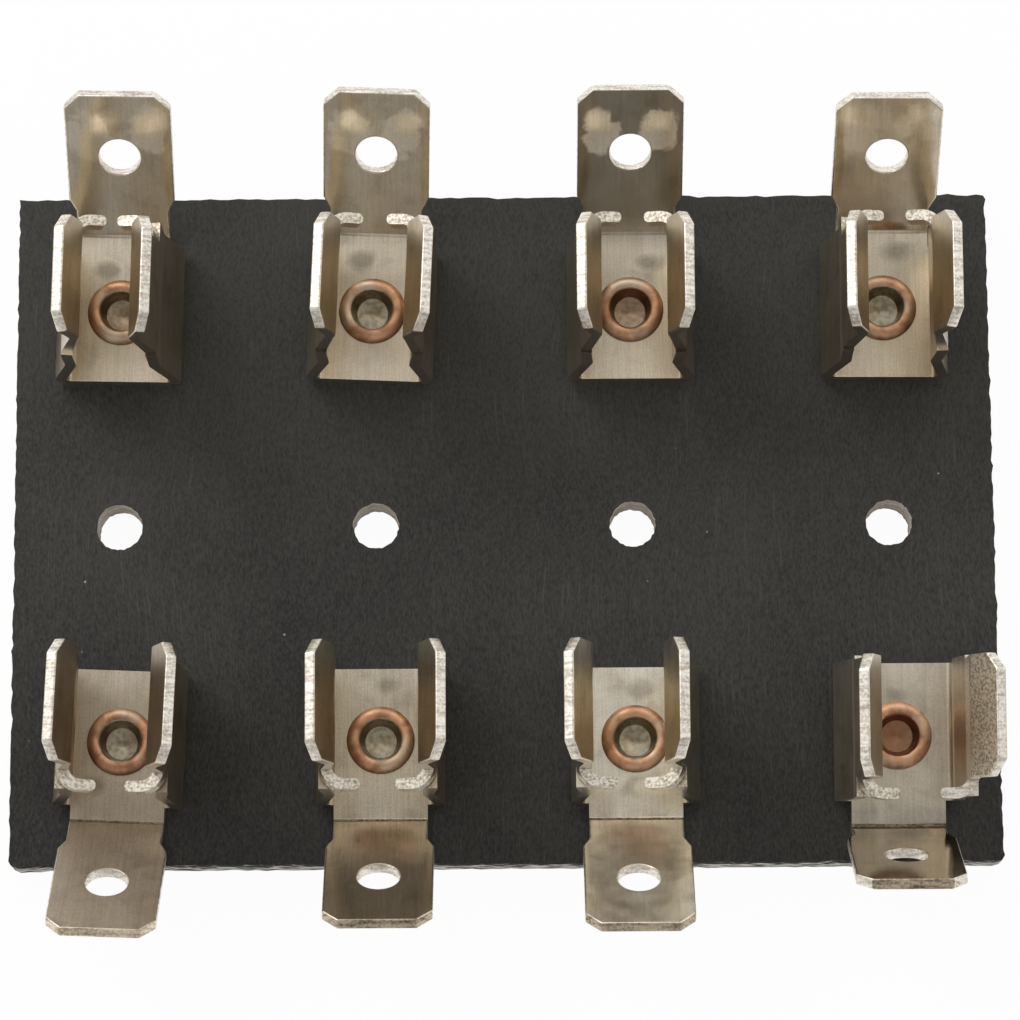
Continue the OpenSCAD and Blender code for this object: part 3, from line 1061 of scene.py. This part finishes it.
@dataclass
class Rivets:
    """The eight rolled rivets, each with a punch mark in the bottom of its funnel."""

    funnel_r: float = 1.27 * MM
    core_r: float = 0.95 * MM
    centre_r: float = 0.3 * MM
    core_low: float = 1.9 * MM
    core_high: float = 3.4 * MM
    mark_ring: float = 0.6 * MM
    mark_r: float = 0.22 * MM
    mark_depth: float = 0.1 * MM
    rim_round: float = 0.05 * MM
    rim_steps: int = 3
    rim_deg: float = 50.0

    def is_core(self, face: MeshPolygon, places: list[Place]) -> bool:
        """Tells the bottom of a funnel from the rest of the rivet."""
        reach = min(math.hypot(face.center.x - x, face.center.y - y) for x, y in places)
        at_core = reach < self.centre_r and self.core_low < face.center.z < self.core_high
        return at_core and face.normal.z > SQUARE

    def mark(self, piece: Object, places: list[Place]) -> None:
        """Sinks a small punch mark in the bottom of each funnel.

        Args:
            piece: Rivets to change.
            places: Centres of the rivets.
        """
        cores = [face.index for face in piece.data.polygons if self.is_core(face, places)]
        LOG.info("rivets: %d punch marks", len(cores))
        pick(piece, "FACE", cores)
        bpy.ops.mesh.inset(thickness=self.mark_ring, use_individual=True)
        bpy.ops.mesh.inset(thickness=self.mark_r, depth=-self.mark_depth, use_individual=True)
        bpy.ops.object.mode_set(mode="OBJECT")

    def build(self, node: Object, places: list[Place], finishes: tuple[Material, ...]) -> None:
        """Builds the rivets.

        Args:
            node: Frame node of the rivets.
            places: Centres of the rivets.
            finishes: Materials of the tube and of the inside of its funnel.
        """
        piece = merged_copy(node, "rivets_rolled")
        self.mark(piece, places)
        rims = [number for number, _, _ in sharp_edges(piece, Matrix.Identity(4), self.rim_deg)]
        round_edges(piece, rims, self.rim_round, self.rim_steps)
        for finish in finishes:
            piece.data.materials.append(finish)
        for face in piece.data.polygons:
            spot = face.center
            x, y = min(places, key=lambda p: math.hypot(spot.x - p[0], spot.y - p[1]))
            away = Vector((spot.x - x, spot.y - y, 0.0))
            inwards = face.normal.dot(away) < 0.0 or away.length < self.core_r
            face.material_index = int(away.length < self.funnel_r and spot.z > self.core_low and inwards)
        smooth(piece)
        dress(piece, "rivets")


@dataclass(frozen=True)
class Studio:
    """Pale floor, soft light from all round and the photograph's camera."""

    floor_size: float = 3.0
    floor_z: float = -0.05 * MM
    paper: str = "#f4f3f1"
    floor_white: float = 0.96
    tilt_deg: float = 12.0
    roll: float = 0.0064
    focal_px: float = 4375.0
    distance: float = 260.0 * MM
    target_px: Place = (504.2, 525.0)
    target_z: float = 2.4 * MM
    sensor_mm: float = 36.0
    near_clip: float = 10.0 * MM
    sky: Stops = field(
        default_factory=lambda: [(0.0, "#b4b4b4"), (0.3, "#e0e0e0"), (0.6, "#ffffff"), (0.97, "#c3c3c3")]
    )
    sky_front: float = 0.65
    sky_back: float = 1.35
    sky_reach: float = 0.8
    box_place: tuple[float, float, float] = (-0.34, 0.36, 0.42)
    box_size: float = 0.34
    box_watts: float = 1.3

    def add_camera(self) -> None:
        """Stands the camera where the photograph was taken from."""
        tilt = math.radians(self.tilt_deg)
        back = Vector((0.0, -math.sin(tilt), math.cos(tilt)))
        level = Vector((1.0, 0.0, 0.0))
        upright = back.cross(level)
        right = math.cos(self.roll) * level - math.sin(self.roll) * upright
        up = math.sin(self.roll) * level + math.cos(self.roll) * upright
        aside = (self.target_px[0] - FRAME_PX / 2) / self.focal_px * self.distance
        above = -(self.target_px[1] - FRAME_PX / 2) / self.focal_px * self.distance
        place = Vector((0.0, 0.0, self.target_z)) - right * aside - up * above + back * self.distance
        data = bpy.data.cameras.new("photo_camera")
        data.sensor_width = self.sensor_mm
        data.lens = self.focal_px * self.sensor_mm / FRAME_PX
        data.clip_start = self.near_clip
        camera = bpy.data.objects.new("photo_camera", data)
        pose = Matrix((right, up, back)).transposed().to_4x4()
        camera.matrix_world = Matrix.Translation(place) @ pose
        bpy.context.scene.collection.objects.link(camera)
        bpy.context.scene.camera = camera

    def add_floor(self) -> None:
        """Lays the floor, which looks white to the eye and in reflections and keeps soft shadows."""
        deselect()
        bpy.ops.mesh.primitive_plane_add(size=self.floor_size, location=(0.0, 0.0, self.floor_z))
        floor = bpy.context.object
        floor.name = "floor"
        material = bpy.data.materials.new("white_paper")
        material.use_nodes = True
        material.node_tree.nodes.clear()
        add = partial(add_node, material.node_tree)
        paper = add("ShaderNodeBsdfDiffuse", {"Color": linear(self.paper)})
        glow = add("ShaderNodeEmission", {"Color": linear("#ffffff"), "Strength": 1.0})
        path = add("ShaderNodeLightPath").outputs
        seen = path["Is Camera Ray"]
        for ray in ("Is Glossy Ray", "Is Transmission Ray"):
            seen = add("ShaderNodeMath", {0: seen, 1: path[ray]}, operation="MAXIMUM")
        share = add("ShaderNodeMath", {0: seen, 1: self.floor_white}, operation="MULTIPLY")
        mix = add("ShaderNodeMixShader", {0: share, 1: paper, 2: glow})
        add("ShaderNodeOutputMaterial", {"Surface": mix})
        floor.data.materials.append(material)

    def add_light(self) -> None:
        """Sets a soft sky, brightest round the middle and behind, and one soft box at the far left."""
        world = bpy.data.worlds.new("soft_room")
        bpy.context.scene.world = world
        world.use_nodes = True
        world.node_tree.nodes.clear()
        add = partial(add_node, world.node_tree)
        coords = add("ShaderNodeTexCoord")
        split = add("ShaderNodeSeparateXYZ", {"Vector": coords.outputs["Generated"]})
        sky = add("ShaderNodeValToRGB", {"Fac": split.outputs["Z"]}, self.sky)
        limits = {1: -self.sky_reach, 2: self.sky_reach, 3: self.sky_front, 4: self.sky_back}
        depth = add("ShaderNodeMapRange", {"Value": split.outputs["Y"], **limits})
        background = add("ShaderNodeBackground", {"Color": sky, "Strength": depth})
        add("ShaderNodeOutputWorld", {"Surface": background})
        data = bpy.data.lights.new("soft_box", "AREA")
        data.shape = "SQUARE"
        data.size = self.box_size
        data.energy = self.box_watts
        box = bpy.data.objects.new("soft_box", data)
        box.location = self.box_place
        box.rotation_euler = (-Vector(self.box_place)).to_track_quat("-Z", "Y").to_euler()
        bpy.context.scene.collection.objects.link(box)


EVEN_PLATE = TarnishedNickel("tarnished_nickel_strip", lip_reflection=0.62, nose_highlight=0.5)
SMOKED_PLATE = TarnishedNickel("smoked_nickel_strip", soot=0.68, soot_from=3.6, lip_reflection=0.6, nose_highlight=0.35)
PLAIN_PLATE = TarnishedNickel("plain_nickel_strip", lip_reflection=0.3)
GREY_PLATE = TarnishedNickel(
    "greyed_nickel_strip", clean="#cbbda8", warm="#b6a793", base_rough=0.36, tab_rough=0.42, grit=0.07
)
SOOTY_PLATE = TarnishedNickel("sooty_nickel_strip", tab_rough=0.24, soot=0.45, grit=0.08)
MOTTLED_PLATE = TarnishedNickel(
    "mottled_nickel_strip",
    clean="#f9f1df",
    warm="#ddd0b8",
    smoke="#8b7d66",
    smoke_share=0.45,
    nose_highlight=0.0,
    base_rough=0.28,
    tab_rough=0.27,
    wave=0.6,
)
POLISHED_PLATE = TarnishedNickel(
    "polished_nickel_strip",
    clean="#e4d9c6",
    warm="#d2c7b3",
    soot=0.6,
    soot_from=3.9,
    base_rough=0.36,
    tab_rough=0.12,
)
BRIGHT_EDGE = ShearedNickel()
DULL_EDGE = ShearedNickel("dulled_strip_edge", bright="#f0e1ca", dull="#a3937c")
# Darker copy of the cut edge for the tips of the near row, which paints their shade
SHADED_TIP_EDGE = ShearedNickel("sooty_strip_edge", bright="#cbbba3", dull="#6a5f4f")
ROUGH_FACES = {
    Face.EDGE: BRIGHT_EDGE,
    # Dark finish that paints the shade on the outer faces of the folds
    Face.FOLD: ShearedNickel("grimy_outer_fold", bright="#51493f", dull="#2c2721"),
    Face.STOP: ShearedNickel("pressed_end_stop", bright="#f8f0e0", dull="#a39680", shear=0.25),
    # Dark finish that paints the shadow in the crease
    Face.CREASE: ShearedNickel("grimy_crease", bright="#857966", dull="#4d4438", shear=0.1),
    Face.GRAIN: ShearedNickel("grained_wall", bright="#fff5e4", dull="#b3a692", shear=0.1),
}

CLIPS = (
    Clip(1, -1.2, 50.0, EVEN_PLATE, BRIGHT_EDGE, smudge_and_shade=(-0.84, 2.64), unshaded_fold=-1),
    Clip(2, -2.5, 49.0, EVEN_PLATE, BRIGHT_EDGE, smudge_and_shade=(-0.71, 3.1)),
    Clip(3, 0.0, 48.0, SMOKED_PLATE, BRIGHT_EDGE, smudge_and_shade=(1.21, 2.83)),
    Clip(4, -0.4, 54.0, PLAIN_PLATE, BRIGHT_EDGE, smudge_and_shade=(0.9, 3.6), unshaded_fold=1),
    Clip(5, -2.4, 45.0, GREY_PLATE, DULL_EDGE, smudge_and_shade=(1.5, 2.6)),
    Clip(6, 0.0, 48.0, SOOTY_PLATE, SHADED_TIP_EDGE, smudge_and_shade=(-0.4, -3.3)),
    Clip(7, 0.0, 46.0, MOTTLED_PLATE, SHADED_TIP_EDGE, smudge_and_shade=(-0.2, -2.9)),
    Clip(8, 0.0, 64.0, POLISHED_PLATE, SHADED_TIP_EDGE, smudge_and_shade=(0.1, -2.3), tilt_deg=6.0, rough_wall=-1),
)

SHEARED_FIBRE = CutFibre(
    "sheared_phenolic_edge", dark="#1d1c1a", pale="#e6e1d8", pale_from=0.6, pale_to=0.72, fringe=0.17
)
HOLE_WALL = CutFibre("punched_phenolic_wall", dark="#a49d94", pale="#ded7cd", pale_from=0.3, pale_to=0.6)


def main() -> None:
    """Builds and dresses the block."""
    logging.basicConfig(level=logging.INFO, format="%(message)s")
    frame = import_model()
    bpy.context.scene.view_settings.view_transform = "Standard"
    studio = Studio()
    studio.add_camera()
    studio.add_floor()
    studio.add_light()
    board = Board()
    board.build((FibreBoard().build(), SHEARED_FIBRE.build(), HOLE_WALL.build()))
    places = board.rivet_places()
    rough = {kind: finish.build() for kind, finish in ROUGH_FACES.items()}
    for clip in CLIPS:
        clip.build(frame["nodes"][f"clip_{clip.number}"], places[clip.number - 1], rough)
    Rivets().build(frame["nodes"]["rivets"], places, (RolledCopper().build(), PunchedCore().build()))


if __name__ == "__main__":
    main()
